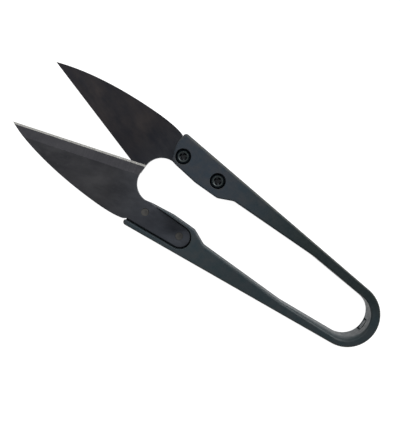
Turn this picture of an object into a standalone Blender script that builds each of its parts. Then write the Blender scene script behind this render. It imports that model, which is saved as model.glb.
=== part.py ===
"""Thread snips: a U-shaped spring handle with a screwed-on blade at the end of each arm.

Row frame: +X towards the bow, +Y towards the finger arm, +Z up, with the origin at the
centre of the bounding box's bottom. Outlines are written in millimetres from the bow's
centre. The thumb side is the finger side turned half a turn about the long axis, except
that its blade is screwed on half a degree further closed.
"""

import math

import bmesh
import bpy
from mathutils import Vector

MM = 0.001

# Whole object
LENGTH = 106.8
THICKNESS = 9.0
GAP = 0.3

# Bow of the handle
BOW_OUTER_R = 8.3
BOW_INNER_R = 5.88
BOW_STEP_DEG = 7.5

# The trimmed moulding gate, in a recess of the bow's inner wall; heights are from the mid-plane
RECESS_DEPTH = 0.5
RECESS_WIDTH = 3.3
RECESS_TOP = 0.3
RECESS_LOW = -3.9
PAD_WIDTH = 2.6
PAD_TOP = -0.9

# Arms: both faces leave the bow as tangents
OUTER_ANGLE = 5.5
INNER_ANGLE = 4.7
PIVOT_X = -2.5
INNER_TAPER_END_X = -15.2
GRIP_END = (-39.85, 6.89)
BOSS_START = (-43.98, 5.01)
BOSS_FLAT_END = (-50.7, 5.01)
BOSS_TIP = (-57.2, 5.84)
END_LOWER = (-58.75, 6.2)
END_BULGE = (-60.3, 10.4)
END_OUTER_X = -59.95
EDGE_CHAMFER = 0.45

# Screws and the pocket that holds the blade's tang
FRONT_SCREW = Vector((-57.0, 8.68))
REAR_SCREW = Vector((-46.25, 8.62))
TANG_CENTRE = Vector((-46.0, 8.65))
POCKET_R = 3.05
POCKET_FLOOR = 0.2
POCKET_GAP = 0.3
COUNTERBORE_R = 2.03
COUNTERBORE_DEPTH = 2.2
HEAD_R = 1.8
HEAD_HEIGHT = 1.3
HEAD_FLAT_R = 1.25
HEAD_EDGE = 0.5
SHANK_R = 1.0
SHANK_CHAMFER = 0.15
CROSS_LENGTH = 2.1
CROSS_WIDTH = 0.5
CROSS_DEPTH = 0.7

# Blades
BLADE_TOP = -0.1
BLADE_THICKNESS = 1.4
TIP = (-98.5, 9.85)
HEEL = (-63.8, -1.05)
CUTOUT_CENTRE = (-58.9, 1.15)
CUTOUT_R = 5.0
BACK_CREST = (-69.0, 14.2)
BACK_END = (-60.25, 13.2)
BEVEL_WIDTH = 3.0
EDGE_THICKNESS = 0.25
THUMB_BLADE_TURN = 0.5

BOW_X = LENGTH / 2 - BOW_OUTER_R
HALF = THICKNESS / 2
BLADE_BOTTOM = BLADE_TOP - BLADE_THICKNESS
TANG_R = POCKET_R - POCKET_GAP
HOLE_R = SHANK_R + GAP
OVERSHOOT = 1.0


def tangent_y(radius, angle_deg, x):
    """Height at x of the line that leaves a circle at the origin as a tangent."""
    angle = math.radians(angle_deg)
    return (radius - x * math.sin(angle)) / math.cos(angle)


PIVOT = Vector((
    PIVOT_X,
    (tangent_y(BOW_OUTER_R, OUTER_ANGLE, PIVOT_X) + tangent_y(BOW_INNER_R, INNER_ANGLE, PIVOT_X)) / 2,
))


# ---------------------------------------------------------------- outlines


def arc(centre, radius, start_deg, end_deg, step_deg=15.0):
    steps = max(2, round(abs(end_deg - start_deg) / step_deg))
    points = []
    for i in range(steps + 1):
        angle = math.radians(start_deg + (end_deg - start_deg) * i / steps)
        points.append(Vector((centre[0] + radius * math.cos(angle), centre[1] + radius * math.sin(angle))))
    return points


def bezier(start, handle_a, handle_b, end, steps):
    """Points of a cubic curve, its start left out."""
    a, b, c, d = Vector(start), Vector(handle_a), Vector(handle_b), Vector(end)
    points = []
    for i in range(1, steps + 1):
        t = i / steps
        s = 1 - t
        points.append(a * s**3 + b * 3 * s * s * t + c * 3 * s * t * t + d * t**3)
    return points


def rounded(corners):
    """Open run of points through (x, y, radius) corners, each inner corner rounded."""
    points = [Vector(corners[0][:2])]
    for before, corner, after in zip(corners, corners[1:], corners[2:]):
        here = Vector(corner[:2])
        back = (Vector(before[:2]) - here).normalized()
        ahead = (Vector(after[:2]) - here).normalized()
        half_angle = back.angle(ahead) / 2
        reach = corner[2] / math.tan(half_angle)
        centre = here + (back + ahead).normalized() * corner[2] / math.sin(half_angle)
        first = here + back * reach - centre
        turn = math.degrees(first.angle_signed(here + ahead * reach - centre))
        start = math.degrees(math.atan2(first.y, first.x))
        points += arc(centre, corner[2], start, start - turn)
    points.append(Vector(corners[-1][:2]))
    return points


def arm_outline():
    """The finger arm, from the flexure cut out along its back, round its end and home."""
    cut_x = PIVOT_X - GAP / 2
    return rounded([
        (cut_x, tangent_y(BOW_OUTER_R, OUTER_ANGLE, cut_x), 0),
        (END_OUTER_X, tangent_y(BOW_OUTER_R, OUTER_ANGLE, END_OUTER_X), 0.9),
        (*END_BULGE, 6.0),
        (*END_LOWER, 1.0),
        (*BOSS_TIP, 3.0),
        (*BOSS_FLAT_END, 6.0),
        (*BOSS_START, 2.0),
        (*GRIP_END, 2.0),
        (INNER_TAPER_END_X, tangent_y(BOW_INNER_R, INNER_ANGLE, INNER_TAPER_END_X), 8.0),
        (cut_x, tangent_y(BOW_INNER_R, INNER_ANGLE, cut_x), 0),
    ])


def bow_outline():
    """The bow with the root of each arm, up to the flexure cuts."""
    cut_x = PIVOT_X + GAP / 2
    outer_y = tangent_y(BOW_OUTER_R, OUTER_ANGLE, cut_x)
    inner_y = tangent_y(BOW_INNER_R, INNER_ANGLE, cut_x)
    outer_end = 90 - OUTER_ANGLE
    inner_end = 90 - INNER_ANGLE
    return (
        [Vector((cut_x, outer_y))]
        + arc((0, 0), BOW_OUTER_R, outer_end, -outer_end, BOW_STEP_DEG)
        + [Vector((cut_x, -outer_y)), Vector((cut_x, -inner_y))]
        + arc((0, 0), BOW_INNER_R, -inner_end, inner_end, BOW_STEP_DEG)
        + [Vector((cut_x, inner_y))]
    )


def tang_end(radius, far_x):
    """Outline of the tang's round end about the rear screw, open towards far_x."""
    slope = math.radians(OUTER_ANGLE)
    outer_y = TANG_CENTRE.y + radius / math.cos(slope) + (TANG_CENTRE.x - far_x) * math.tan(slope)
    run = arc(TANG_CENTRE, radius, -90, 90 - OUTER_ANGLE)
    return run + [Vector((far_x, outer_y))]


def pocket_outline():
    far_x = END_BULGE[0] - OVERSHOOT
    return [Vector((far_x, TANG_CENTRE.y - POCKET_R))] + tang_end(POCKET_R, far_x)


def blade_outline():
    """The blade, from its tip down the cutting edge, round the cutout and tang, and along its back."""
    tang_inner = Vector((CUTOUT_CENTRE[0] + 1.4, TANG_CENTRE.y - TANG_R))
    return (
        [Vector(TIP), Vector(HEEL)]
        + arc(CUTOUT_CENTRE, CUTOUT_R, 180, 90)
        + [tang_inner]
        + tang_end(TANG_R, BACK_END[0])
        + [Vector(BACK_END)]
        + bezier(BACK_END, (-62.3, 13.9), (-65.5, 14.2), BACK_CREST, 5)
        + bezier(BACK_CREST, (-82.0, 14.2), (-92.0, 12.3), TIP, 12)[:-1]
    )


def cross_outline(length, width):
    """A plus sign about the origin."""
    far, near = length / 2, width / 2
    quarter = [Vector((near, near)), Vector((near, far)), Vector((-near, far))]
    points = []
    for turn in range(4):
        angle = math.radians(90 * turn)
        for p in quarter:
            points.append(Vector((
                p.x * math.cos(angle) - p.y * math.sin(angle),
                p.x * math.sin(angle) + p.y * math.cos(angle),
            )))
    return points


# ---------------------------------------------------------------- solids


def make_mesh(name, vertices, faces):
    """Mesh in metres from vertices in millimetres, its faces pointing out."""
    mesh = bpy.data.meshes.new(name)
    mesh.from_pydata([Vector(v) * MM for v in vertices], [], faces)
    bm = bmesh.new()
    bm.from_mesh(mesh)
    bmesh.ops.recalc_face_normals(bm, faces=bm.faces)
    bm.to_mesh(mesh)
    bm.free()
    return mesh


def prism(name, outline, low, high):
    count = len(outline)
    vertices = [(p.x, p.y, low) for p in outline] + [(p.x, p.y, high) for p in outline]
    sides = [(i, (i + 1) % count, count + (i + 1) % count, count + i) for i in range(count)]
    return make_mesh(name, vertices, [tuple(range(count)), tuple(range(count, 2 * count))] + sides)


def turned(name, profile, segments):
    """Solid of revolution about Z; the profile's first and last points lie on the axis."""
    vertices = [(0, 0, profile[0][1])]
    for radius, height in profile[1:-1]:
        for i in range(segments):
            angle = 2 * math.pi * i / segments
            vertices.append((radius * math.cos(angle), radius * math.sin(angle), height))
    vertices.append((0, 0, profile[-1][1]))
    rings = len(profile) - 2
    last = len(vertices) - 1
    faces = []
    for i in range(segments):
        j = (i + 1) % segments
        faces.append((0, 1 + i, 1 + j))
        for ring in range(rings - 1):
            a = 1 + ring * segments
            b = a + segments
            faces.append((a + i, b + i, b + j, a + j))
        bottom = 1 + (rings - 1) * segments
        faces.append((last, bottom + j, bottom + i))
    return make_mesh(name, vertices, faces)


def block(name, x_range, width, low, high):
    """Box centred on y = 0."""
    corners = [(x_range[0], -1), (x_range[1], -1), (x_range[1], 1), (x_range[0], 1)]
    return prism(name, [Vector((x, side * width / 2)) for x, side in corners], low, high)


def cylinder(name, centre, radius, low, high):
    return prism(name, arc(centre, radius, 0, 360)[:-1], low, high)


def chamfer_rims(mesh, kept_x):
    """Chamfers the top and bottom rims, but not their edges on the flexure cut at x = kept_x."""
    bm = bmesh.new()
    bm.from_mesh(mesh)
    rims = []
    for edge in bm.edges:
        a, b = edge.verts[0].co, edge.verts[1].co
        on_cut = max(abs(a.x - kept_x * MM), abs(b.x - kept_x * MM)) < 0.001 * MM
        if abs(a.z - b.z) < 0.001 * MM and not on_cut:
            rims.append(edge)
    bmesh.ops.bevel(bm, geom=rims, offset=EDGE_CHAMFER * MM, segments=1, affect="EDGES")
    bm.to_mesh(mesh)
    bm.free()
    return mesh


def combined(mesh, tools, operation="DIFFERENCE"):
    """The mesh after a Boolean with each tool mesh in turn."""
    helpers = [bpy.data.objects.new("helper", mesh)]
    for tool in tools:
        helpers.append(bpy.data.objects.new("cutter", tool))
        helpers[-1].hide_render = True
        helpers[-1].display_type = "WIRE"
        step = helpers[0].modifiers.new("cut", "BOOLEAN")
        step.operation = operation
        step.solver = "EXACT"
        step.object = helpers[-1]
    for helper in helpers:
        bpy.context.scene.collection.objects.link(helper)
    graph = bpy.context.evaluated_depsgraph_get()
    result = bpy.data.meshes.new_from_object(helpers[0].evaluated_get(graph))
    result.name = mesh.name
    for helper in helpers:
        bpy.data.objects.remove(helper)
    return result


def moved(mesh, offset):
    """Shifts a mesh by an offset in millimetres."""
    for vertex in mesh.vertices:
        vertex.co += Vector(offset) * MM
    return mesh


# ---------------------------------------------------------------- sub-parts


def bow_mesh():
    """The bow, with the flat stub of the moulding gate standing in its recess."""
    bow = chamfer_rims(prism("spring_bow", bow_outline(), -HALF, HALF), PIVOT_X + GAP / 2)
    back_x = BOW_INNER_R + RECESS_DEPTH
    recess = block("recess", (BOW_INNER_R - OVERSHOOT, back_x), RECESS_WIDTH, RECESS_LOW, RECESS_TOP)
    pad = block("pad", (BOW_INNER_R, back_x + GAP), PAD_WIDTH, RECESS_LOW - GAP, PAD_TOP)
    return combined(combined(bow, [recess]), [pad], "UNION")


def arm_mesh():
    """An arm with its tang pocket below, and two counterbored screw holes above."""
    arm = chamfer_rims(prism("arm", arm_outline(), -HALF, HALF), PIVOT_X - GAP / 2)
    tools = [prism("pocket", pocket_outline(), -HALF - OVERSHOOT, POCKET_FLOOR)]
    bore_floor = HALF - COUNTERBORE_DEPTH
    for centre in (FRONT_SCREW, REAR_SCREW):
        tools.append(cylinder("counterbore", centre, COUNTERBORE_R, bore_floor, HALF + OVERSHOOT))
        tools.append(cylinder("hole", centre, HOLE_R, -OVERSHOOT, HALF))
    return moved(combined(arm, tools), (-PIVOT.x, -PIVOT.y, 0))


def bevel_cutter():
    """Wedge under the cutting edge: it leaves a bevel on the blade's outer face."""
    tip, heel = Vector(TIP), Vector(HEEL)
    along = (heel - tip).normalized()
    inward = Vector((-along.y, along.x))
    edge_z = BLADE_TOP - EDGE_THICKNESS
    fall = (edge_z - BLADE_BOTTOM) / BEVEL_WIDTH
    outside, inside = -0.5, BEVEL_WIDTH + 0.6
    section = [
        (outside, edge_z - fall * outside),
        (inside, edge_z - fall * inside),
        (outside, edge_z - fall * inside),
    ]
    vertices = []
    for end in (tip - along * 3, heel + along * OVERSHOOT):
        for across, z in section:
            p = end + inward * across
            vertices.append((p.x, p.y, z))
    return make_mesh("bevel", vertices, [(0, 1, 2), (3, 5, 4), (0, 3, 4, 1), (1, 4, 5, 2), (2, 5, 3, 0)])


def blade_mesh():
    """A blade about its rear screw, ground on its outer face."""
    blade = prism("blade", blade_outline(), BLADE_BOTTOM, BLADE_TOP)
    tools = [bevel_cutter()]
    for centre in (FRONT_SCREW, REAR_SCREW):
        tools.append(cylinder("hole", centre, HOLE_R, BLADE_BOTTOM - OVERSHOOT, BLADE_TOP + OVERSHOOT))
    return moved(combined(blade, tools), (-REAR_SCREW.x, -REAR_SCREW.y, 0))


def screw_mesh():
    """Pan-head machine screw about its own axis, its tip flush with the tang's outer face."""
    under_head = HALF - COUNTERBORE_DEPTH + GAP
    top = under_head + HEAD_HEIGHT
    profile = [
        (0, top),
        (HEAD_FLAT_R, top),
        (HEAD_R - HEAD_EDGE / 3, top - HEAD_EDGE / 3),
        (HEAD_R, top - HEAD_EDGE),
        (HEAD_R, under_head),
        (SHANK_R, under_head),
        (SHANK_R, BLADE_BOTTOM + SHANK_CHAMFER),
        (SHANK_R - SHANK_CHAMFER, BLADE_BOTTOM),
        (0, BLADE_BOTTOM),
    ]
    cross = prism("cross", cross_outline(CROSS_LENGTH, CROSS_WIDTH), top - CROSS_DEPTH, top + OVERSHOOT)
    return combined(turned("screw", profile, 24), [cross])


def make_material(name, colour, roughness, metallic):
    material = bpy.data.materials.new(name)
    material.use_nodes = True
    shader = material.node_tree.nodes["Principled BSDF"]
    shader.inputs["Base Color"].default_value = (*colour, 1.0)
    shader.inputs["Roughness"].default_value = roughness
    shader.inputs["Metallic"].default_value = metallic
    return material


def add_object(name, mesh, material, parent=None, location=(0, 0, 0)):
    mesh.shade_smooth()
    mesh.set_sharp_from_angle(angle=math.radians(35))
    mesh.materials.clear()
    mesh.materials.append(material)
    obj = bpy.data.objects.new(name, mesh)
    obj.location = Vector(location) * MM
    obj.parent = parent
    bpy.context.scene.collection.objects.link(obj)
    return obj


def add_pivot(name, location, half_turn):
    pivot = bpy.data.objects.new(name, None)
    pivot.empty_display_size = 4 * MM
    pivot.location = Vector(location) * MM
    pivot.rotation_euler = (math.pi if half_turn else 0, 0, 0)
    bpy.context.scene.collection.objects.link(pivot)
    return pivot


def main():
    for obj in list(bpy.data.objects):
        bpy.data.objects.remove(obj, do_unlink=True)
    plastic = make_material("handle_plastic", (0.030, 0.037, 0.045), 0.5, 0.0)
    steel = make_material("blackened_steel", (0.028, 0.027, 0.030), 0.4, 0.8)
    screw_steel = make_material("screw_steel", (0.022, 0.024, 0.028), 0.35, 0.9)

    add_object("spring_bow", bow_mesh(), plastic, location=(BOW_X, 0, HALF))
    arm, blade, screw = arm_mesh(), blade_mesh(), screw_mesh()
    for side, sign, blade_turn in (("finger", 1, 0), ("thumb", -1, THUMB_BLADE_TURN)):
        pivot = add_pivot(f"{side}_pivot", (BOW_X + PIVOT.x, sign * PIVOT.y, HALF), sign < 0)
        add_object(f"{side}_arm", arm, plastic, pivot)
        blade_object = add_object(f"{side}_blade", blade, steel, pivot, (*(REAR_SCREW - PIVOT), 0))
        blade_object.rotation_euler.z = math.radians(blade_turn)
        for place, centre in (("front", FRONT_SCREW), ("rear", REAR_SCREW)):
            add_object(f"{side}_screw_{place}", screw, screw_steel, pivot, (*(centre - PIVOT), 0))


main()
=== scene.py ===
"""Thread snips: the visual model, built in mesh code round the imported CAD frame.

Lengths are in millimetres and become metres through MM, except in the materials and the lights.
Outlines are written about the bow's centre, as the CAD's are, with z from the snips' mid-plane.
The thumb side is the finger side turned half a turn about the long axis.
"""
import math

import bmesh
import bpy
from mathutils import Matrix, Vector


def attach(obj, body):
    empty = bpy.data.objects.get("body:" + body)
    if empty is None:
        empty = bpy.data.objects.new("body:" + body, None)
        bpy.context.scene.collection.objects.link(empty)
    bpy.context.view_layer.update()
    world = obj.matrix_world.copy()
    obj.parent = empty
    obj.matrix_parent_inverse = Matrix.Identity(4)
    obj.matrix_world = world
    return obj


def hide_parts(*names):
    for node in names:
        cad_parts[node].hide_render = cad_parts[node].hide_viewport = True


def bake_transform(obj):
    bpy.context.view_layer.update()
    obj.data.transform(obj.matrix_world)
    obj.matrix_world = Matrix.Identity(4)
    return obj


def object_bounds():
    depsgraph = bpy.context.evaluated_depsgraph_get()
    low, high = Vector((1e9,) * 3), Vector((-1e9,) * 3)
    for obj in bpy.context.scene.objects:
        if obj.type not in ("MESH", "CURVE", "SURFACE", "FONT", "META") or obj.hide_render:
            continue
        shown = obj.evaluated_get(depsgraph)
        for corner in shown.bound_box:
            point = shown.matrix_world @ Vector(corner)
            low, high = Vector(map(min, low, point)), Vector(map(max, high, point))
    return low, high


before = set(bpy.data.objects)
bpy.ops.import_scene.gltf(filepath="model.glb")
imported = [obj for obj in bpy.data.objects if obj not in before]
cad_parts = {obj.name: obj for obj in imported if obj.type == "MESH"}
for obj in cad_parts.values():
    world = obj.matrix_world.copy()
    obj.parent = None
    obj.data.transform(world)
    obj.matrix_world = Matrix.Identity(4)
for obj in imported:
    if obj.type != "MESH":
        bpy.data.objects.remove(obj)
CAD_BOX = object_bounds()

MM = 0.001

# The handle's driving dimensions, as in the CAD
BOW_OUTER_R = 8.3
BOW_INNER_R = 5.88
OUTER_ANGLE = 5.5
INNER_ANGLE = 4.7
END_OUTER_X = -60.0
INNER_TAPER_END_X = -15.2
POCKET_R = 3.05
POCKET_FLOOR = 0.2
POCKET_GAP = 0.25
COUNTERBORE_R = 2.03
COUNTERBORE_DEPTH = 2.2
RECESS_DEPTH = 0.5
RECESS_WIDTH = 3.3
RECESS_TOP = 0.3
RECESS_LOW = -3.9
PAD_WIDTH = 2.6
PAD_TOP = -0.9
FRONT_SCREW = Vector((-57.0, 8.68))
REAR_SCREW = Vector((-46.25, 8.62))
TANG_CENTRE = Vector((-46.0, 8.65))

# The blades, as in the CAD, and how the thumb side's blade differs
TIP = Vector((-98.5, 9.85))
HEEL = Vector((-63.8, -1.05))
CUTOUT_CENTRE = (-58.9, 1.15)
CUTOUT_R = 5.0
BACK_CREST = (-69.0, 14.2)
BACK_NEAR_TIP = (-92.0, 12.3)
BACK_END = (-60.75, 13.3)
BLADE_TOP = -0.1
BLADE_BOTTOM = -1.5
THUMB_BLADE_TURN = 0.5
THUMB_EDGE_SHIFT = 0.25

LOW, HIGH = CAD_BOX
HALF = (HIGH.z - LOW.z) / MM / 2
BOW_X = HIGH.x / MM - BOW_OUTER_R
TANG_R = POCKET_R - POCKET_GAP
OVERSHOOT = 1.0  # how far a cutter stands out of what it cuts
TO_ROW = Matrix.Translation(Vector((BOW_X, 0, HALF)) * MM)
SIDES = {"finger": TO_ROW, "thumb": TO_ROW @ Matrix.Rotation(math.pi, 4, "X")}

# Radius of the handle's rounded rims: on the head side, then on the pocket side
BOW_RIM = (0.45, 0.45)
OUTER_END_RIM = (0.8, 0.4)
END_RIM = (0.5, 0.3)
INNER_RIM = (0.4, 0.35)
TAPER_RIM = (0.38, 0.7)
BOW_INNER_RIM = (0.35, 1.2)
APEX_RIM = (0.6, 0.6)
APEX_BLEND_DEG = 60.0
RIM_STEPS = 7

# Painted sheen on the rims that face inwards, as a share of the painted sheen on the outer ones
INNER_RIM_SHEEN = 0.2


# ---------------------------------------------------------------- outlines


def tangent_y(radius, angle_deg, x):
    """Height at x of the line that leaves a circle at the origin as a tangent."""
    angle = math.radians(angle_deg)
    return (radius - x * math.sin(angle)) / math.cos(angle)


def evenly(start, end, step):
    """Numbers from start to end, both kept, about one step apart."""
    steps = max(2, round(abs(end - start) / step))
    return [start + (end - start) * i / steps for i in range(steps + 1)]


def on_circle(radius, angle_deg, centre=(0, 0)):
    """The point of a circle at an angle from +X."""
    angle = math.radians(angle_deg)
    return centre[0] + radius * math.cos(angle), centre[1] + radius * math.sin(angle)


def arc(centre, radius, start_deg, end_deg, step_deg=5.0):
    """Points of an arc, from its start to its end."""
    return [on_circle(radius, angle, centre) for angle in evenly(start_deg, end_deg, step_deg)]


def bezier(start, handle_a, handle_b, end, steps):
    """Points of a cubic curve, its start left out."""
    a, b, c, d = Vector(start), Vector(handle_a), Vector(handle_b), Vector(end)
    points = []
    for i in range(1, steps + 1):
        t = i / steps
        s = 1 - t
        points.append(tuple(a * s**3 + b * 3 * s * s * t + c * 3 * s * t * t + d * t**3))
    return points


def rounded(corners):
    """Points (x, y, *rims) through corners (x, y, radius, rims), each inner corner rounded."""
    points = [(*corners[0][:2], *corners[0][3])]
    for before, corner, after in zip(corners, corners[1:], corners[2:]):
        here = Vector(corner[:2])
        back = (Vector(before[:2]) - here).normalized()
        ahead = (Vector(after[:2]) - here).normalized()
        half_angle = back.angle(ahead) / 2
        reach = corner[2] / math.tan(half_angle)
        centre = here + (back + ahead).normalized() * corner[2] / math.sin(half_angle)
        first = here + back * reach - centre
        turn = math.degrees(first.angle_signed(here + ahead * reach - centre))
        start = math.degrees(math.atan2(first.y, first.x))
        points += [(*p, *corner[3]) for p in arc(centre, corner[2], start, start - turn)]
    points.append((*corners[-1][:2], *corners[-1][3]))
    return points


def subdivided(points, longest):
    """The same open run with extra points wherever two neighbours are far apart."""
    run = [points[0]]
    for a, b in zip(points, points[1:]):
        count = max(1, math.ceil(math.dist(a[:2], b[:2]) / longest))
        for i in range(1, count + 1):
            run.append(tuple(p + (q - p) * i / count for p, q in zip(a, b)))
    return run


def inner_bow_rim(angle_deg):
    """Rim radii of the bow's inner edge: the two sides agree at the apex and part from there."""
    part = min(1.0, angle_deg / APEX_BLEND_DEG)
    return tuple(a + (b - a) * part for a, b in zip(APEX_RIM, BOW_INNER_RIM))


def bow_angles(end_deg):
    """Angles from the apex to the bow's end, closer together where the two halves meet."""
    step = 2.5
    return [0.0, 0.25, 0.7, 1.4] + evenly(step, end_deg, step)


def handle_half_outline():
    """Half the handle, from the bow's outer apex along the back, round the end and home inside."""
    outer = [(*on_circle(BOW_OUTER_R, a), *BOW_RIM) for a in bow_angles(90 - OUTER_ANGLE)]
    inner = [(*on_circle(BOW_INNER_R, a), *inner_bow_rim(a)) for a in bow_angles(90 - INNER_ANGLE)]
    inner.reverse()
    outer_y = tangent_y(BOW_OUTER_R, OUTER_ANGLE, END_OUTER_X)
    taper_y = tangent_y(BOW_INNER_R, INNER_ANGLE, INNER_TAPER_END_X)
    arm = rounded([
        (*outer[-1][:2], 0, BOW_RIM),
        (END_OUTER_X, outer_y, 0.85, OUTER_END_RIM),
        (-60.3, 10.4, 6.0, END_RIM),
        (-58.75, 6.2, 1.0, END_RIM),
        (-57.2, 5.84, 3.0, INNER_RIM),
        (-50.7, 5.01, 6.0, INNER_RIM),
        (-43.98, 5.01, 2.0, INNER_RIM),
        (-39.85, 6.89, 2.0, INNER_RIM),
        (INNER_TAPER_END_X, taper_y, 8.0, TAPER_RIM),
        (*inner[0][:2], 0, BOW_INNER_RIM),
    ])
    longest = 1.2
    return outer + subdivided(arm, longest)[1:-1] + inner


def tang_end(radius, far_x):
    """Outline of a round end about the tang's centre, its outer side running on to far_x."""
    slope = math.radians(OUTER_ANGLE)
    outer_y = TANG_CENTRE.y + radius / math.cos(slope) + (TANG_CENTRE.x - far_x) * math.tan(slope)
    return arc(TANG_CENTRE, radius, -90, 90 - OUTER_ANGLE) + [(far_x, outer_y)]


def blade_outline(edge_shift):
    """The blade, anticlockwise from its tip; edge_shift moves its cutting edge outwards."""
    along = (HEEL - TIP).normalized()
    outward = Vector((along.y, -along.x))
    from_tip = (Vector(BACK_NEAR_TIP) - TIP).normalized()
    tip = TIP - from_tip * (edge_shift / outward.dot(-from_tip))
    heel = HEEL + outward * edge_shift
    tang_start = (CUTOUT_CENTRE[0] + 1.4, TANG_CENTRE.y - TANG_R)
    return (
        [tuple(tip), tuple(heel)]
        + arc(CUTOUT_CENTRE, CUTOUT_R, 180, 90)
        + [tang_start]
        + tang_end(TANG_R, -59.9)
        + [(-60.1, 12.82), (-60.35, 13.05), BACK_END]
        + bezier(BACK_END, (-62.3, 13.9), (-65.5, 14.2), BACK_CREST, 12)
        + bezier(BACK_CREST, (-82.0, 14.2), BACK_NEAR_TIP, TIP, 40)[:-1]
    )


# ---------------------------------------------------------------- solids


def outward_normals(outline, ends=None):
    """For each point of an anticlockwise outline, the offset that moves both its edges out by 1.

    The pair ends, where it is given, stands for the first and the last point's.
    """
    sharpest = 0.05
    count = len(outline)
    normals = []
    for i in range(count):
        here = Vector(outline[i][:2])
        a = (here - Vector(outline[i - 1][:2])).normalized()
        b = (Vector(outline[(i + 1) % count][:2]) - here).normalized()
        first, second = Vector((a.y, -a.x)), Vector((b.y, -b.x))
        normals.append((first + second) / max(sharpest, 1 + first.dot(second)))
    if ends:
        normals[0], normals[-1] = ends
    return normals


def make_mesh(name, vertices, faces):
    """Mesh in metres from vertices in millimetres, its faces pointing out."""
    mesh = bpy.data.meshes.new(name)
    mesh.from_pydata([Vector(v) * MM for v in vertices], [], faces)
    bm = bmesh.new()
    bm.from_mesh(mesh)
    bmesh.ops.recalc_face_normals(bm, faces=bm.faces)
    bm.to_mesh(mesh)
    bm.free()
    return mesh


def ring_solid(name, outline, section, ends=None):
    """Closed solid whose wall at each outline point runs through section(point): (offset, z) pairs."""
    columns = []
    for point, normal in zip(outline, outward_normals(outline, ends)):
        x, y = point[:2]
        columns.append([(x + normal.x * out, y + normal.y * out, z) for out, z in section(point)])
    count, rings = len(columns), len(columns[0])
    vertices = [columns[i][k] for k in range(rings) for i in range(count)]
    faces = [tuple(range(count)), tuple(range((rings - 1) * count, rings * count))]
    for k in range(rings - 1):
        for i in range(count):
            j = (i + 1) % count
            faces.append((k * count + i, k * count + j, (k + 1) * count + j, (k + 1) * count + i))
    return make_mesh(name, vertices, faces)


def quarter_turn(steps):
    """(sine, cosine) pairs from 0 to 90 degrees."""
    angles = [math.pi / 2 * k / steps for k in range(steps + 1)]
    return [(math.sin(angle), math.cos(angle)) for angle in angles]


def rim_height(radius):
    """How far a rim reaches down the wall; over about 0.6 mm it grows faster than the radius."""
    growth, offset = 2.9, 0.75
    return radius * max(1.0, growth * radius - offset)


def rounded_section(low, high, low_rim, high_rim, steps):
    """(offset, z) pairs up a wall with rounded rims."""
    low_height, high_height = rim_height(low_rim), rim_height(high_rim)
    turn = quarter_turn(steps)
    pairs = [(-low_rim * (1 - sine), low + low_height * (1 - cosine)) for sine, cosine in turn]
    pairs += [(-high_rim * (1 - cosine), high - high_height * (1 - sine)) for sine, cosine in turn]
    return pairs


def turned(name, profile, segments):
    """Solid of revolution about Z; the profile's first and last points lie on the axis."""
    vertices = [(0, 0, profile[0][1])]
    for radius, height in profile[1:-1]:
        for i in range(segments):
            angle = 2 * math.pi * i / segments
            vertices.append((radius * math.cos(angle), radius * math.sin(angle), height))
    vertices.append((0, 0, profile[-1][1]))
    rings, last = len(profile) - 2, len(vertices) - 1
    faces = []
    for i in range(segments):
        j = (i + 1) % segments
        faces.append((0, 1 + i, 1 + j))
        for ring in range(rings - 1):
            a = 1 + ring * segments
            b = a + segments
            faces.append((a + i, b + i, b + j, a + j))
        bottom = 1 + (rings - 1) * segments
        faces.append((last, bottom + j, bottom + i))
    return make_mesh(name, vertices, faces)


def moved(mesh, offset):
    """Shifts a mesh by an offset in millimetres."""
    mesh.transform(Matrix.Translation(Vector(offset) * MM))
    return mesh


def evaluated(helper):
    """The helper object's mesh with its modifiers baked in; the helper is removed."""
    bpy.context.view_layer.update()
    graph = bpy.context.evaluated_depsgraph_get()
    result = bpy.data.meshes.new_from_object(helper.evaluated_get(graph))
    bpy.data.objects.remove(helper)
    return result


def linked(name, data):
    """A new object with this mesh, light or camera, in the scene."""
    obj = bpy.data.objects.new(name, data)
    bpy.context.scene.collection.objects.link(obj)
    return obj


def carved(mesh, tools):
    """The mesh with each tool mesh cut out of it in turn."""
    helper = linked("helper", mesh)
    cutters = [linked("cutter", tool) for tool in tools]
    for cutter in cutters:
        cut = helper.modifiers.new("cut", "BOOLEAN")
        cut.operation = "DIFFERENCE"
        cut.solver = "EXACT"
        cut.object = cutter
    result = evaluated(helper)
    for cutter in cutters:
        bpy.data.objects.remove(cutter)
    return result


def shaded(mesh, sharp_deg=38):
    """Smooth shading with flat faces kept flat, through face-weighted normals."""
    mesh.shade_smooth()
    mesh.set_sharp_from_angle(angle=math.radians(sharp_deg))
    helper = linked("helper", mesh)
    weighted = helper.modifiers.new("normals", "WEIGHTED_NORMAL")
    weighted.keep_sharp = True
    weighted.weight = 50
    return evaluated(helper)


def mark_rim_sheen(mesh):
    """Point attribute rim: painted sheen on a rounded rim, set by how far its normal tilts, 0 on the
    flat sides and the walls.

    The end caps where the two halves meet would tilt the normals there, so those are levelled.
    """
    seam = 0.001 * MM
    values = []
    for vertex in mesh.vertices:
        normal = vertex.normal.copy()
        if abs(vertex.co.y) < seam:
            normal.y = 0
            normal.normalize()
        tilt = normal.z ** 2
        outward = Vector((max(0.0, vertex.co.x - BOW_X * MM), vertex.co.y))
        share = 1.0 if normal.xy.dot(outward) > 0 else INNER_RIM_SHEEN
        values.append(4 * tilt * (1 - tilt) * share)
    mesh.attributes.new("rim", "FLOAT", "POINT").data.foreach_set("value", values)


# ---------------------------------------------------------------- handle

MOUTH_SOFT = 0.12
HOLE_R = 1.08


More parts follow.
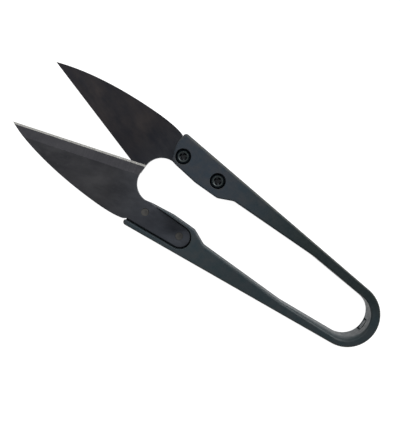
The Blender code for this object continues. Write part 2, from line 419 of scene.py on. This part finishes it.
def pocket_cutter():
    """The tang's pocket, with a softened rim and floor."""
    far_x = -61.5
    outline = [(far_x, TANG_CENTRE.y - POCKET_R)] + tang_end(POCKET_R, far_x)
    pairs = [(MOUTH_SOFT, -HALF - OVERSHOOT)]
    for sine, cosine in quarter_turn(3):
        pairs.append((MOUTH_SOFT * (1 - sine), -HALF + MOUTH_SOFT * (1 - cosine)))
    pairs += [(0, POCKET_FLOOR - MOUTH_SOFT), (-MOUTH_SOFT, POCKET_FLOOR)]
    return ring_solid("pocket", outline, lambda _: pairs)


def counterbore_cutter():
    """A stepped screw hole, its mouth and its floor's corner softened."""
    floor = HALF - COUNTERBORE_DEPTH
    profile = [(0, -OVERSHOOT), (HOLE_R, -OVERSHOOT), (HOLE_R, floor)]
    profile += [(COUNTERBORE_R - MOUTH_SOFT, floor), (COUNTERBORE_R, floor + MOUTH_SOFT)]
    for sine, cosine in quarter_turn(3):
        profile.append((COUNTERBORE_R + MOUTH_SOFT * (1 - cosine), HALF - MOUTH_SOFT * (1 - sine)))
    profile += [(COUNTERBORE_R + MOUTH_SOFT, HALF + OVERSHOOT), (0, HALF + OVERSHOOT)]
    return turned("counterbore", profile, 64)


def block(name, x_range, width, low, high, rim=0.02):
    """Box centred on y = 0, its rims rounded."""
    near, far = x_range
    longest = 0.3
    outline = [(near, width / 2), (near, -width / 2), (far, -width / 2), (far, width / 2)]
    outline = subdivided(outline + outline[:1], longest)[:-1]
    return ring_solid(name, outline, lambda _: rounded_section(low, high, rim, rim, 3))


def handle_half_mesh(matrix):
    """Half of the handle in the row frame, with its share of the gate's recess."""

    def section(point):
        return rounded_section(-HALF, HALF, point[3], point[2], RIM_STEPS)

    at_the_seam = (Vector((1, 0)), Vector((-1, 0)))
    half = ring_solid("handle_half", handle_half_outline(), section, at_the_seam)
    cutters = [pocket_cutter()]
    for screw in (FRONT_SCREW, REAR_SCREW):
        cutters.append(moved(counterbore_cutter(), (*screw, 0)))
    depths = (BOW_INNER_R - OVERSHOOT, BOW_INNER_R + RECESS_DEPTH)
    recess = block("recess", depths, RECESS_WIDTH, RECESS_LOW, RECESS_TOP)
    recess.transform(matrix.inverted() @ TO_ROW)
    mesh = shaded(carved(half, [*cutters, recess]))
    mesh.transform(matrix)
    mark_rim_sheen(mesh)
    return mesh


def gate_pad_mesh():
    """The flat stub of the moulding gate, in its recess; its top falls away towards the wall."""
    set_back, sunk, rim, top_slope = 0.12, 0.1, 0.08, 1.8
    front = BOW_INNER_R + set_back
    depths = (front, BOW_INNER_R + RECESS_DEPTH + sunk)
    mesh = block("gate_pad", depths, PAD_WIDTH, RECESS_LOW - sunk, PAD_TOP, rim)
    for vertex in mesh.vertices:
        if vertex.co.z > (PAD_TOP - 0.5) * MM:
            vertex.co.z -= top_slope * (vertex.co.x - front * MM)
    mesh = shaded(mesh)
    mesh.transform(TO_ROW)
    mark_rim_sheen(mesh)
    return mesh


# ---------------------------------------------------------------- blades

# The two grinds: what the micro-bevel leaves of the edge, and the wide bevel's plane
EDGE_LAND = 0.03
MICRO_SLOPE = 0.8
BEVEL_START = BLADE_TOP - 0.25
BEVEL_WIDTH = 3.0

# Rim radius at the edge, what the back adds to it over its reach from the tip, and at the tang
EDGE_RIM = 0.01
BACK_RIM = 0.1
BACK_RIM_REACH = 5.0
TANG_RIM = 0.22

TAPPED_R = 1.01
SAME_PLANE = 0.9995  # least cosine between the normals of a plane and of its faces
BODY, FLAT, BEVEL, EDGE = range(4)  # the blade's material slots


def edge_frame(tip, heel):
    """Matrix of the frame at the tip: X along the cutting edge, Y in from it, Z up."""
    along = (heel - tip).normalized()
    matrix = Matrix.Identity(4)
    matrix.col[0] = (along.x, along.y, 0, 0)
    matrix.col[1] = (-along.y, along.x, 0, 0)
    matrix.translation = Vector((tip.x, tip.y, 0)) * MM
    return matrix


def wedge(name, z_at_edge, slope, length):
    """Wedge in the edge frame; it cuts away all below the plane z = z_at_edge - slope * y."""
    outside, inside, depth = -1.5, 6.0, 3.0
    before_tip, past_heel = -6.0, length + 2.0
    lowest = z_at_edge - slope * inside - depth
    section = [
        (outside, z_at_edge - slope * outside),
        (inside, z_at_edge - slope * inside),
        (inside, lowest),
        (outside, lowest),
    ]
    vertices = [(x, y, z) for x in (before_tip, past_heel) for y, z in section]
    walls = [(i, (i + 1) % 4, 4 + (i + 1) % 4, 4 + i) for i in range(4)]
    return make_mesh(name, vertices, [(0, 1, 2, 3), (4, 5, 6, 7)] + walls)


def blade_blank(edge_shift):
    """The blade before it is ground, with its tapped holes, and where its tip and heel are."""
    outline = blade_outline(edge_shift)
    tip, heel = Vector(outline[0]), Vector(outline[1])
    longest = 2.0
    edge_run = subdivided(outline[:2], longest)
    outline = edge_run + outline[2:]

    def rim(index, point):
        if index < len(edge_run):
            return EDGE_RIM
        if point[0] > BACK_END[0]:
            return TANG_RIM
        from_tip = (Vector(point) - tip).length
        return EDGE_RIM + BACK_RIM * min(1.0, from_tip / BACK_RIM_REACH)

    def section(point):
        return rounded_section(BLADE_BOTTOM, BLADE_TOP, point[2], point[2], 2)

    outline = [(*point, rim(i, point)) for i, point in enumerate(outline)]
    blank = ring_solid("blade", outline, section)
    below, above = -3.0, 1.0
    profile = [(0, below), (TAPPED_R, below), (TAPPED_R, above), (0, above)]
    holes = [moved(turned("hole", profile, 48), (*screw, 0)) for screw in (FRONT_SCREW, REAR_SCREW)]
    return carved(blank, holes), tip, heel


def blade_mesh(edge_shift, finishes):
    """A blade ground on its outer face; finishes are its body, flat, bevel and edge materials.

    Each point's place in the edge frame is kept as the attribute ground, for the grinding marks.
    """
    blade, tip, heel = blade_blank(edge_shift)
    blade.transform(edge_frame(tip, heel).inverted())
    length = (heel - tip).length
    bevel_slope = (BEVEL_START - BLADE_BOTTOM) / BEVEL_WIDTH
    bevel = wedge("bevel", BEVEL_START, bevel_slope, length)
    micro_bevel = wedge("micro", BLADE_TOP - EDGE_LAND, MICRO_SLOPE, length)
    blade = shaded(carved(blade, [bevel, micro_bevel]), 12)
    for finish in finishes:
        blade.materials.append(finish)
    bevel_normal = Vector((0, -bevel_slope, -1)).normalized()
    micro_normal = Vector((0, -MICRO_SLOPE, -1)).normalized()
    for face in blade.polygons:
        if face.normal.dot(micro_normal) > SAME_PLANE:
            face.material_index = EDGE
        elif face.normal.dot(bevel_normal) > SAME_PLANE:
            face.material_index = BEVEL
        elif face.normal.z > SAME_PLANE:
            face.material_index = FLAT
        else:
            face.material_index = BODY
    places = [x for vertex in blade.vertices for x in vertex.co]
    blade.attributes.new("ground", "FLOAT_VECTOR", "POINT").data.foreach_set("vector", places)
    blade.transform(edge_frame(tip, heel))
    return blade


# ---------------------------------------------------------------- screws

# The head is as high as the CAD's, which keeps a gap to the counterbore's floor
CAD_HEAD_GAP = 0.3
HEAD_HEIGHT = 1.3
HEAD_TOP = HALF - COUNTERBORE_DEPTH + CAD_HEAD_GAP + HEAD_HEIGHT
HEAD_BASE = HALF - COUNTERBORE_DEPTH + 0.02
HEAD_CHAMFER = 0.06
HEAD_R = 1.8
HEAD_FLAT_R = 1.34
CREST_R = 1.26
CREST_RISE = 0.03
DISH_R = 1.2
DISH_FLOOR_R = 0.7
DISH_DEPTH = 0.3
FLANK_HEIGHT = 0.9
FLANK_BULGE = 0.08
FLANK_STEPS = 8
SHANK_R = 1.0
THREAD_PITCH = 0.4
THREAD_DEPTH = 0.16
THREAD_ROWS = 40
TIP_CHAMFER = 0.04


def cross_points(length, width):
    """A plus sign about the origin, anticlockwise."""
    far, near = length / 2, width / 2
    points = []
    for turn in range(4):
        angle = math.radians(90 * turn)
        sine, cosine = math.sin(angle), math.cos(angle)
        for x, y in ((far, -near), (far, near), (near, near)):
            points.append((x * cosine - y * sine, x * sine + y * cosine))
    return points


def recess_cutter():
    """Tapered Phillips recess: three crosses, each a length, a width and a height."""
    sections = [(1.25, 0.5, HEAD_TOP - 1.0), (2.1, 0.8, HEAD_TOP), (2.8, 1.05, HEAD_TOP + 0.85)]
    vertices = [(x, y, z) for length, width, z in sections for x, y in cross_points(length, width)]
    corners = 12
    faces = [tuple(range(corners)), tuple(range(2 * corners, 3 * corners))]
    for ring in (0, corners):
        for i in range(corners):
            a, b = ring + i, ring + (i + 1) % corners
            faces.append((a, b, b + corners, a + corners))
    return make_mesh("recess", vertices, faces)


def screw_mesh():
    """Pan-head machine screw about its own axis, with its thread and a chamfered flush tip."""
    dish_floor, shoulder = HEAD_TOP - DISH_DEPTH, HEAD_TOP - CREST_RISE
    profile = [(0, dish_floor), (DISH_FLOOR_R, dish_floor), (DISH_R, shoulder)]
    profile += [(CREST_R, HEAD_TOP), (HEAD_FLAT_R, shoulder)]
    for k in range(1, FLANK_STEPS + 1):
        fall = k / FLANK_STEPS
        radius = HEAD_FLAT_R + (HEAD_R - HEAD_FLAT_R) * fall + FLANK_BULGE * math.sin(math.pi * fall)
        profile.append((radius, shoulder - FLANK_HEIGHT * fall))
    profile += [(HEAD_R, HEAD_BASE + HEAD_CHAMFER), (HEAD_R - HEAD_CHAMFER, HEAD_BASE)]
    profile.append((SHANK_R, HEAD_BASE))
    top, low = HEAD_BASE - 0.05, BLADE_BOTTOM + 0.3
    profile += [(SHANK_R, top + (low - top) * i / THREAD_ROWS) for i in range(THREAD_ROWS + 1)]
    profile += [(SHANK_R, BLADE_BOTTOM + TIP_CHAMFER), (SHANK_R - TIP_CHAMFER, BLADE_BOTTOM)]
    profile.append((0, BLADE_BOTTOM))
    mesh = turned("screw", profile, 36)
    tolerance = 0.001
    for vertex in mesh.vertices:
        x, y, z = vertex.co / MM
        if low < z < top and abs(math.hypot(x, y) - SHANK_R) < tolerance:
            turn = (z / THREAD_PITCH - math.atan2(y, x) / (2 * math.pi)) % 1
            cut = THREAD_DEPTH * abs(2 * turn - 1)
            vertex.co.xy *= (SHANK_R - cut) / SHANK_R
    return shaded(carved(mesh, [recess_cutter()]), 35)


# ---------------------------------------------------------------- materials

# Places and ranges of places are in metres here, and a noise's scale counts per metre

MIX_A, MIX_B, MIX_RESULT = 6, 7, 2  # the colour sockets of a Mix node
TANG_PAINTED_SHADE = (0.0484, 0.0127)  # centre of the painted shade patch on each tang, in the edge frame


class Shader:
    """A material's node tree, with short calls for the nodes that the finishes share.

    A call gives its node's output, and takes a number or another node's output as a value.
    """

    def __init__(self, name):
        self.material = bpy.data.materials.new(name)
        self.material.use_nodes = True
        self.tree = self.material.node_tree
        self.principled = self.tree.nodes["Principled BSDF"]
        self.coords = self.tree.nodes.new("ShaderNodeTexCoord").outputs["Object"]

    def put(self, socket, value):
        """Links or sets a socket."""
        if isinstance(value, bpy.types.NodeSocket):
            self.tree.links.new(value, socket)
        else:
            socket.default_value = value

    def stretched(self, scale):
        """The coordinates, scaled by three numbers."""
        node = self.tree.nodes.new("ShaderNodeVectorMath")
        node.operation = "MULTIPLY"
        self.put(node.inputs[0], self.coords)
        node.inputs[1].default_value = scale
        return node.outputs[0]

    def noise(self, scale, detail=3.0, roughness=0.5, coords=None):
        node = self.tree.nodes.new("ShaderNodeTexNoise")
        self.put(node.inputs["Vector"], coords or self.coords)
        node.inputs["Scale"].default_value = scale
        node.inputs["Detail"].default_value = detail
        node.inputs["Roughness"].default_value = roughness
        return node.outputs["Fac"]

    def cells(self, scale):
        node = self.tree.nodes.new("ShaderNodeTexVoronoi")
        self.put(node.inputs["Vector"], self.coords)
        node.inputs["Scale"].default_value = scale
        return node.outputs["Distance"]

    def split(self, axis):
        node = self.tree.nodes.new("ShaderNodeSeparateXYZ")
        self.put(node.inputs[0], self.coords)
        return node.outputs[axis]

    def radius(self, centre=(0, 0)):
        """Distance from a line along Z through centre."""
        node = self.tree.nodes.new("ShaderNodeVectorMath")
        node.operation = "DISTANCE"
        self.put(node.inputs[0], self.stretched((1, 1, 0)))
        node.inputs[1].default_value = (*centre, 0)
        return node.outputs["Value"]

    def math(self, operation, a, b):
        node = self.tree.nodes.new("ShaderNodeMath")
        node.operation = operation
        self.put(node.inputs[0], a)
        self.put(node.inputs[1], b)
        return node.outputs[0]

    def plus(self, a, b):
        return self.math("ADD", a, b)

    def times(self, a, b):
        return self.math("MULTIPLY", a, b)

    def ranged(self, value, low, high, to_low=0, to_high=1):
        """The value, with low to high turned into to_low to to_high and held beyond them."""
        node = self.tree.nodes.new("ShaderNodeMapRange")
        self.put(node.inputs["Value"], value)
        node.inputs["From Min"].default_value = low
        node.inputs["From Max"].default_value = high
        node.inputs["To Min"].default_value = to_low
        node.inputs["To Max"].default_value = to_high
        return node.outputs["Result"]

    def mixed(self, factor, a, b, blend="MIX"):
        node = self.tree.nodes.new("ShaderNodeMix")
        node.data_type = "RGBA"
        node.blend_type = blend
        self.put(node.inputs["Factor"], factor)
        for index, colour in ((MIX_A, a), (MIX_B, b)):
            plain = not isinstance(colour, bpy.types.NodeSocket)
            self.put(node.inputs[index], (*colour, 1) if plain else colour)
        return node.outputs[MIX_RESULT]

    def attribute(self, name, output="Fac"):
        node = self.tree.nodes.new("ShaderNodeAttribute")
        node.attribute_name = name
        return node.outputs[output]

    def bump(self, height, strength, distance_mm):
        """Sets the surface's relief."""
        node = self.tree.nodes.new("ShaderNodeBump")
        node.inputs["Strength"].default_value = strength
        node.inputs["Distance"].default_value = distance_mm * MM
        self.put(node.inputs["Height"], height)
        self.put(self.principled.inputs["Normal"], node.outputs["Normal"])

    def surface(self, colour, roughness, metallic=0.0, specular=0.5):
        """Sets the surface's finish and gives the material."""
        self.put(self.principled.inputs["Base Color"], colour)
        self.put(self.principled.inputs["Roughness"], roughness)
        self.principled.inputs["Metallic"].default_value = metallic
        self.principled.inputs["Specular IOR Level"].default_value = specular
        return self.material


def slate_plastic():
    """Satin moulded plastic: slate at the bosses, with painted shade that darkens it towards the bow
    and more on the finger arm, a painted tone on the thumb arm, and painted sheen on the rims.
    """
    s = Shader("handle_plastic")
    mottle = s.ranged(s.noise(420, 4, 0.65), 0.36, 0.64)
    slate = s.mixed(mottle, (0.029, 0.042, 0.058), (0.044, 0.049, 0.058))
    # The next colour is a painted tone for the thumb arm; the two after it are painted shade, for the
    # bow and for the finger arm near it.
    thumb_arm_painted_tone = s.mixed(mottle, (0.027, 0.0435, 0.053), (0.041, 0.0505, 0.056))
    bow_painted_shade = s.mixed(mottle, (0.016, 0.030, 0.036), (0.027, 0.036, 0.041))
    dark = s.mixed(mottle, (0.008, 0.016, 0.018), (0.014, 0.022, 0.022))
    thumb_side = s.ranged(s.split("Y"), -0.0065, -0.003, 1, 0)
    finger_side = s.ranged(s.split("Y"), 0.003, 0.0065)
    along = s.plus(s.split("X"), s.times(s.noise(60, 2), 0.012))
    # Painted light by place: a greener tone on the thumb arm, painted shade towards the bow, and
    # deeper painted shade on the finger arm near the bow.
    colour = s.mixed(thumb_side, slate, thumb_arm_painted_tone)
    colour = s.mixed(s.ranged(along, 0.006, 0.024), colour, bow_painted_shade)
    colour = s.mixed(s.times(finger_side, s.ranged(along, 0.014, 0.034)), colour, dark)

    flecks = s.ranged(s.noise(2400, 2), 0.35, 0.7)
    colour = s.mixed(s.times(flecks, 0.2), colour, (0.045, 0.051, 0.058))
    # Painted sheen on the rounded rims, through the attribute rim, which follows the tilt of the
    # normals.
    patchy = s.ranged(s.noise(500, 4, 0.7), 0.35, 0.7, 0.3, 0.9)
    colour = s.mixed(s.times(s.attribute("rim"), patchy), colour, (0.062, 0.061, 0.050))

    s.bump(s.plus(s.noise(3600, 3, 0.6), s.times(s.cells(2600), 0.6)), 0.35, 0.025)
    satin = s.ranged(s.noise(900, 3), 0.3, 0.7, 0.40, 0.54)
    duller_bosses = s.ranged(s.split("X"), 0, 0.03, 0.25, 0)
    return s.surface(colour, s.plus(satin, duller_bosses), specular=0.22)


def blackened(name, dark, light, roughness, streak, tang_tint, along=(60, 900, 60)):
    """Blackened steel: patches and clouds of oxide, the grinding wheel's fine streaks, scuffs.

    The tang is tinted and has a dark patch of painted shade; along scales the coordinates that the
    streaks follow.
    """
    s = Shader(name)
    s.coords = s.attribute("ground", "Vector")
    patches = s.ranged(s.noise(150, 5, 0.62, s.stretched((0.6, 1.2, 1))), 0.36, 0.64)
    clouds = s.ranged(s.noise(75, 3, 0.55, s.stretched((0.7, 1.3, 1))), 0.42, 0.6, 0, 0.45)
    colour = s.mixed(clouds, s.mixed(patches, dark, light), dark)

    tang = s.ranged(s.split("X"), 0.029, 0.045)
    colour = s.mixed(tang, colour, s.mixed(1.0, colour, tang_tint, "MULTIPLY"))
    # A dark patch of painted shade on the tang.
    painted_shade_spread = s.plus(s.radius(TANG_PAINTED_SHADE), s.times(s.noise(700, 4, 0.6), 0.003))
    colour = s.mixed(s.ranged(painted_shade_spread, 0.0015, 0.0055, 0.5, 0), colour, (0.006, 0.008, 0.011))

    lines = s.noise(3.0, 4, 0.7, s.stretched(along))
    colour = s.mixed(s.times(s.ranged(lines, 0.4, 0.75), streak), colour, light)
    scuffs = s.ranged(s.noise(1400, 5, 0.75), 0.62, 0.75, 0, 0.35)
    colour = s.mixed(scuffs, colour, tuple(1.8 * c for c in light))

    s.bump(s.plus(lines, s.times(s.noise(2600, 3), 0.5)), 0.25, 0.012)
    uneven = s.ranged(lines, 0.3, 0.7, roughness - 0.07, roughness + 0.07)
    return s.surface(colour, uneven, metallic=0.6, specular=0.3)


def ground_steel():
    """The bright ground edge, with the wheel's fine lines across it."""
    s = Shader("blade_edge")
    s.coords = s.attribute("ground", "Vector")
    lines = s.noise(3.0, 4, 0.7, s.stretched((1500, 90, 90)))
    colour = s.mixed(s.ranged(lines, 0.35, 0.7), (0.50, 0.49, 0.46), (0.86, 0.85, 0.82))
    s.bump(lines, 0.3, 0.01)
    return s.surface(colour, s.ranged(lines, 0.3, 0.7, 0.28, 0.42), metallic=1.0)


def screw_steel():
    """Black oxide, paler on the head's flank, with a painted highlight round its crest and painted
    shade deep in its recess, rubbed on the shank's tip.
    """
    s = Shader("screw_steel")
    patches = s.ranged(s.noise(900, 4, 0.6), 0.35, 0.68)
    colour = s.mixed(patches, (0.012, 0.017, 0.023), (0.024, 0.029, 0.034))
    flank = s.ranged(s.radius(), 1.3 * MM, 1.45 * MM)
    colour = s.mixed(flank, colour, (0.035, 0.052, 0.07))

    # A painted highlight round the head's crest.
    crest = s.ranged(s.radius(), 1.02 * MM, 1.12 * MM)
    on_top = s.ranged(s.split("Z"), (HEAD_TOP - 0.2) * MM, (HEAD_TOP - 0.1) * MM)
    crest_painted_highlight = s.times(s.times(crest, on_top), s.ranged(patches, 0, 1, 0.6, 1.0))
    colour = s.mixed(crest_painted_highlight, colour, (0.06, 0.075, 0.073))

    # Painted shade deep in the cross recess.
    recess_painted_shade = s.ranged(s.split("Z"), (HEAD_TOP - 0.42) * MM, (HEAD_TOP - 0.34) * MM, 0.85, 0)
    inside = s.ranged(s.radius(), 1.15 * MM, 1.2 * MM, 1, 0)
    colour = s.mixed(s.times(recess_painted_shade, inside), colour, (0.004, 0.005, 0.007))

    tip = s.ranged(s.split("Z"), (BLADE_BOTTOM + 0.1) * MM, (BLADE_BOTTOM + 0.05) * MM)
    worn_tip = s.times(tip, s.ranged(patches, 0, 1, 0.5, 1.0))
    colour = s.mixed(worn_tip, colour, (0.080, 0.078, 0.074))

    s.bump(s.noise(3800, 3, 0.6), 0.3, 0.012)
    return s.surface(colour, s.ranged(patches, 0, 1, 0.32, 0.48), metallic=0.5)


# ---------------------------------------------------------------- assembly

HANDLE_FINISH = slate_plastic()
BODY_FINISH = blackened(
    "blade_body", (0.018, 0.0185, 0.022), (0.049, 0.049, 0.053), 0.42, 0.25, (1.5, 1.66, 1.84)
)
FLAT_FINISH = blackened(
    "blade_flat", (0.008, 0.0085, 0.0125), (0.027, 0.023, 0.0235), 0.44, 0.25, (1.2, 1.75, 2.05)
)
BEVEL_FINISH = blackened(
    "blade_bevel", (0.040, 0.040, 0.046), (0.058, 0.057, 0.063), 0.40, 0.5, (1, 1, 1), (900, 60, 60)
)
BLADE_FINISHES = (BODY_FINISH, FLAT_FINISH, BEVEL_FINISH, ground_steel())
SCREW_FINISH = screw_steel()

# How far the cutting edge stands out of the CAD's, and how far the blade is turned, in degrees
BLADE_FIT = {"finger": (0.0, 0.0), "thumb": (THUMB_EDGE_SHIFT, THUMB_BLADE_TURN)}


def finished(obj, finish=None):
    """Gives a piece its material, where a finish is given; pieces whose meshes have theirs already get
    none.
    """
    if finish:
        obj.data.materials.append(finish)
    return obj


screw = screw_mesh()

for side, matrix in SIDES.items():
    body = f"{side}_side"
    mesh = handle_half_mesh(matrix)
    half = finished(linked(f"handle_{side}_half", mesh), HANDLE_FINISH)
    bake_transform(half)
    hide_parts(f"{side}_arm", "spring_bow")

    edge_shift, turn_deg = BLADE_FIT[side]
    mesh = blade_mesh(edge_shift, BLADE_FINISHES)
    about = Matrix.Translation(Vector((*REAR_SCREW, 0)) * MM)
    turn = about @ Matrix.Rotation(math.radians(turn_deg), 4, "Z") @ about.inverted()
    mesh.transform(matrix @ turn)
    blade = finished(linked(f"{side}_blade_ground", mesh))
    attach(blade, body)
    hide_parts(f"{side}_blade")

    for place, centre in (("front", FRONT_SCREW), ("rear", REAR_SCREW)):
        piece = finished(linked(f"{side}_pan_screw_{place}", screw.copy()), SCREW_FINISH)
        piece.matrix_world = matrix @ Matrix.Translation(Vector((*centre, 0)) * MM)
        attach(piece, body)
        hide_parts(f"{side}_screw_{place}")

pad = finished(linked("gate_pad", gate_pad_mesh()), HANDLE_FINISH)
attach(pad, "handle_bow")


# ---------------------------------------------------------------- stage, light and camera

FLOOR_SIZE = 6.0
FLOOR_GREY = 0.45
FLOOR_GLOW = 0.92
FLOOR_DROP = 0.05 * MM
WORLD_STRENGTH = 0.3
WHITE = (1, 1, 1, 1)

# Name, place in metres, size in metres and power in watts; each light looks at the origin
LIGHTS = (
    ("key", (0.12, 0.55, 0.45), 0.35, 1.5),
    ("low", (0.08, 0.62, 0.13), 0.25, 2.2),
    ("top", (-0.35, 0.15, 0.75), 0.5, 1.8),
)

# The camera's place, what it looks at, both in millimetres, and its lens and sensor
EYE = Vector((2.655, 5.09, 200.53))
TARGET = Vector((0.119, -0.942, 9.0))
UP_HINT = Vector((-0.577, 0.8166, -0.0181))
LENS = 63.377
SENSOR = 36.0


def make_floor():
    """A plain pale floor just under the snips."""
    reach = FLOOR_SIZE / 2
    corners = [(-reach, -reach, 0), (reach, -reach, 0), (reach, reach, 0), (-reach, reach, 0)]
    mesh = bpy.data.meshes.new("floor")
    mesh.from_pydata(corners, [], [(0, 1, 2, 3)])
    floor = linked("floor", mesh)
    floor.location.z = LOW.z - FLOOR_DROP
    paper = Shader("floor_paper")
    paper.principled.inputs["Emission Color"].default_value = WHITE
    paper.principled.inputs["Emission Strength"].default_value = FLOOR_GLOW
    mesh.materials.append(paper.surface((FLOOR_GREY, FLOOR_GREY, FLOOR_GREY, 1), 0.9))


def make_light(name, place, size, power):
    """A soft round light that looks at the origin."""
    data = bpy.data.lights.new(name, "AREA")
    data.shape = "DISK"
    data.size = size
    data.energy = power
    light = linked(name, data)
    light.location = place
    light.rotation_euler = (-Vector(place)).to_track_quat("-Z", "Y").to_euler()
    light.visible_camera = False


def make_world():
    """A faint even light from all round."""
    world = bpy.data.worlds.new("studio")
    world.use_nodes = True
    background = world.node_tree.nodes["Background"]
    background.inputs["Color"].default_value = WHITE
    background.inputs["Strength"].default_value = WORLD_STRENGTH
    bpy.context.scene.world = world


def make_camera():
    """The camera, above the snips and nearly square to them."""
    eye, target = EYE * MM, TARGET * MM
    back = (eye - target).normalized()
    right = UP_HINT.cross(back).normalized()
    up = back.cross(right)
    data = bpy.data.cameras.new("camera")
    data.lens = LENS
    data.sensor_width = SENSOR
    data.clip_start = 0.01
    camera = linked("camera", data)
    matrix = Matrix((right, up, back)).transposed().to_4x4()
    matrix.translation = eye
    camera.matrix_world = matrix
    bpy.context.scene.camera = camera


make_floor()
for light in LIGHTS:
    make_light(*light)
make_world()
make_camera()
bpy.context.scene.view_settings.view_transform = "Standard"

bpy.context.view_layer.update()
